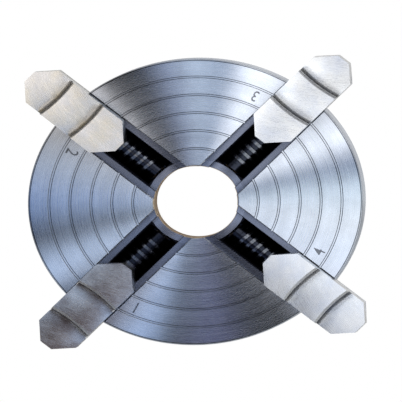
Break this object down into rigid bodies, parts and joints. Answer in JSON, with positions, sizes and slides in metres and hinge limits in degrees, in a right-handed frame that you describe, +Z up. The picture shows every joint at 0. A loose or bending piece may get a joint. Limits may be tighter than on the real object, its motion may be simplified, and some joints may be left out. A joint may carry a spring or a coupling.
{
  "type": "lathe chuck",
  "caption": "Independent-jaw lathe chuck: a round body with radial slots, stepped reversible jaws moved by their own square-socket screws, and a cam-lock back.",
  "frame": {"origin": "on the spindle axis, in the plane of the seat that rests on the spindle nose", "axes": "the spindle axis lies along Y: +Y points out of the back into the spindle, the face looks towards -Y; +Z is up, and the jaws lie at 45 degrees between X and Z"},
  "size_m": [0.2, 0.137, 0.2],
  "materials": {
    "turned_iron": "fine turned, bright",
    "ground_jaw_steel": "surface ground",
    "blackened_screw_steel": "oil blackened, worn bright on the crests",
    "dark_fitting_steel": "machined and lightly oiled"
  },
  "bodies": {
    "chuck_body": {"body": "turned_iron", "thrust_bearing_1": "dark_fitting_steel", "thrust_bearing_2": "dark_fitting_steel", "thrust_bearing_3": "dark_fitting_steel", "thrust_bearing_4": "dark_fitting_steel", "bearing_set_screw_1": "dark_fitting_steel", "bearing_set_screw_2": "dark_fitting_steel", "bearing_set_screw_3": "dark_fitting_steel", "bearing_set_screw_4": "dark_fitting_steel", "camlock_stud_1": "dark_fitting_steel", "camlock_stud_2": "dark_fitting_steel", "camlock_stud_3": "dark_fitting_steel", "stud_lock_screw_1": "dark_fitting_steel", "stud_lock_screw_2": "dark_fitting_steel", "stud_lock_screw_3": "dark_fitting_steel"},
    "screw_1": {"screw_1": "blackened_screw_steel"},
    "jaw_1": {"jaw_1": "ground_jaw_steel"},
    "screw_2": {"screw_2": "blackened_screw_steel"},
    "jaw_2": {"jaw_2": "ground_jaw_steel"},
    "screw_3": {"screw_3": "blackened_screw_steel"},
    "jaw_3": {"jaw_3": "ground_jaw_steel"},
    "screw_4": {"screw_4": "blackened_screw_steel"},
    "jaw_4": {"jaw_4": "ground_jaw_steel"}
  },
  "joints": [
    {"name": "screw_1_spin", "type": "hinge", "parent": "chuck_body", "child": "screw_1", "pos_m": [0, -0.045, 0], "axis": [-0.7071, 0, -0.7071], "range_deg": [-3785, 545]},
    {"name": "jaw_1_slide", "type": "slide", "parent": "chuck_body", "child": "jaw_1", "axis": [-0.7071, 0, -0.7071], "range_m": [-0.0525, 0.0075]},
    {"name": "screw_2_spin", "type": "hinge", "parent": "chuck_body", "child": "screw_2", "pos_m": [0, -0.045, 0], "axis": [-0.7071, 0, 0.7071], "range_deg": [-3785, 545]},
    {"name": "jaw_2_slide", "type": "slide", "parent": "chuck_body", "child": "jaw_2", "axis": [-0.7071, 0, 0.7071], "range_m": [-0.0525, 0.0075]},
    {"name": "screw_3_spin", "type": "hinge", "parent": "chuck_body", "child": "screw_3", "pos_m": [0, -0.045, 0], "axis": [0.7071, 0, 0.7071], "range_deg": [-3785, 545]},
    {"name": "jaw_3_slide", "type": "slide", "parent": "chuck_body", "child": "jaw_3", "axis": [0.7071, 0, 0.7071], "range_m": [-0.0525, 0.0075]},
    {"name": "screw_4_spin", "type": "hinge", "parent": "chuck_body", "child": "screw_4", "pos_m": [0, -0.045, 0], "axis": [0.7071, 0, -0.7071], "range_deg": [-3785, 545]},
    {"name": "jaw_4_slide", "type": "slide", "parent": "chuck_body", "child": "jaw_4", "axis": [0.7071, 0, -0.7071], "range_m": [-0.0525, 0.0075]}
  ],
  "couplings": [
    {"joint": "screw_1_spin", "follows": "jaw_1_slide", "rad_per_m": 1256.6},
    {"joint": "screw_2_spin", "follows": "jaw_2_slide", "rad_per_m": 1256.6},
    {"joint": "screw_3_spin", "follows": "jaw_3_slide", "rad_per_m": 1256.6},
    {"joint": "screw_4_spin", "follows": "jaw_4_slide", "rad_per_m": 1256.6}
  ]
}
